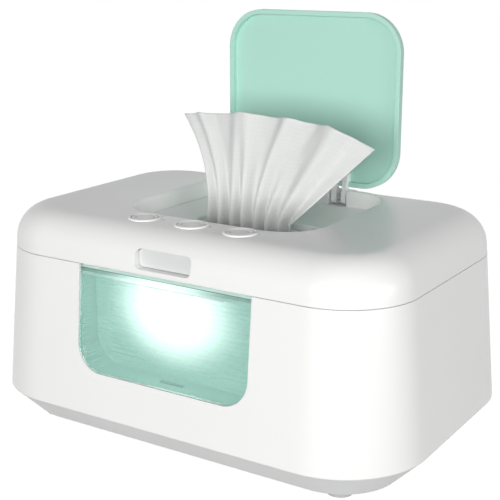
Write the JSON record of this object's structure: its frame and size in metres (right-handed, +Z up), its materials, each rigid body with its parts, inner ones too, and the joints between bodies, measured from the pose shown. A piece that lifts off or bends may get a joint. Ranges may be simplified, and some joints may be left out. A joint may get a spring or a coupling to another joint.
{
  "type": "baby wipe warmer",
  "caption": "Heated tub for moist baby wipes in a soft-cornered white housing, with a mint dispensing lid, a night light window, push buttons and a latched top cover",
  "frame": {"origin": "middle of the footprint, at the bottom of the rubber feet", "axes": "+X to the right along the front face, +Y to the back (the window faces -Y), +Z up"},
  "size_m": [0.24, 0.164, 0.2096],
  "materials": {
    "housing": "satin white moulded plastic",
    "base": "fine-textured white moulded plastic",
    "foot": "pale grey moulded rubber",
    "steel": "zinc-plated steel",
    "window": "clear mint-tinted plastic",
    "diffuser": "translucent mint plastic with fine ribs",
    "light_board": "white solder mask",
    "led": "diffuse lamp, lit",
    "tub": "plain white polypropylene",
    "soft_seal": "milky soft silicone",
    "aluminium": "rolled sheet",
    "heater_film": "amber polyimide film",
    "insulation": "needled felt",
    "black_parts": "moulded component bodies",
    "circuit_board": "green solder mask",
    "wipe": "moist non-woven cloth",
    "insert": "satin white moulded plastic",
    "light_pipe": "smoked clear plastic",
    "lid": "translucent mint plastic",
    "hinge_arm": "satin white moulded plastic",
    "latch": "pale grey moulded plastic",
    "button": "satin white moulded plastic"
  },
  "bodies": {
    "housing": {"outer_shell": "housing", "base_pan": "base", "rubber_feet": "foot", "base_screws": "steel", "window_pane": "window", "light_chamber": "diffuser", "night_light_board": "light_board", "night_light_leds": "led", "tank": "tub", "tub_frame": "tub", "tank_seal": "soft_seal", "heater_plate": "aluminium", "heating_element": "heater_film", "insulation_pad": "insulation", "thermal_cutout": "black_parts", "temperature_sensor": "black_parts", "control_board": "circuit_board", "control_board_parts": "black_parts", "power_inlet": "black_parts", "cover_hinge_pins": "steel", "wipe_stack": "wipe"},
    "cover": {"top_cover": "housing", "cover_liner": "tub", "liner_screws": "steel", "dispenser_insert": "insert", "dispenser_gasket": "soft_seal", "pulled_wipe": "wipe", "button_board": "circuit_board", "button_switches": "black_parts", "board_screws": "steel", "indicator_lights": "light_pipe", "lid_hinge_pins": "steel", "latch_spring": "steel"},
    "lid": {"lid": "lid", "lid_hinge_arms": "hinge_arm"},
    "latch": {"latch_button": "latch"},
    "power_button": {"power_button": "button"},
    "heat_button": {"heat_button": "button"},
    "light_button": {"light_button": "button"}
  },
  "joints": [
    {"name": "cover_hinge", "type": "hinge", "parent": "housing", "child": "cover", "pos_m": [0, 0.0789, 0.0932], "axis": [-1, 0, 0], "range_deg": [0, 85]},
    {"name": "lid_hinge", "type": "hinge", "parent": "cover", "child": "lid", "pos_m": [0, 0.06295, 0.10825], "axis": [1, 0, 0], "range_deg": [0, 90], "deforming": ["pulled_wipe"]},
    {"name": "latch_press", "type": "slide", "parent": "cover", "child": "latch", "axis": [0, 1, 0], "range_m": [0, 0.002], "stiffness_N_per_m": 400, "springref_m": -0.001, "deforming": ["latch_spring"]},
    {"name": "power_press", "type": "slide", "parent": "cover", "child": "power_button", "axis": [0, 0, -1], "range_m": [0, 0.0008], "stiffness_N_per_m": 400, "springref_m": -0.0005},
    {"name": "heat_press", "type": "slide", "parent": "cover", "child": "heat_button", "axis": [0, 0, -1], "range_m": [0, 0.0008], "stiffness_N_per_m": 400, "springref_m": -0.0005},
    {"name": "light_press", "type": "slide", "parent": "cover", "child": "light_button", "axis": [0, 0, -1], "range_m": [0, 0.0008], "stiffness_N_per_m": 400, "springref_m": -0.0005}
  ]
}
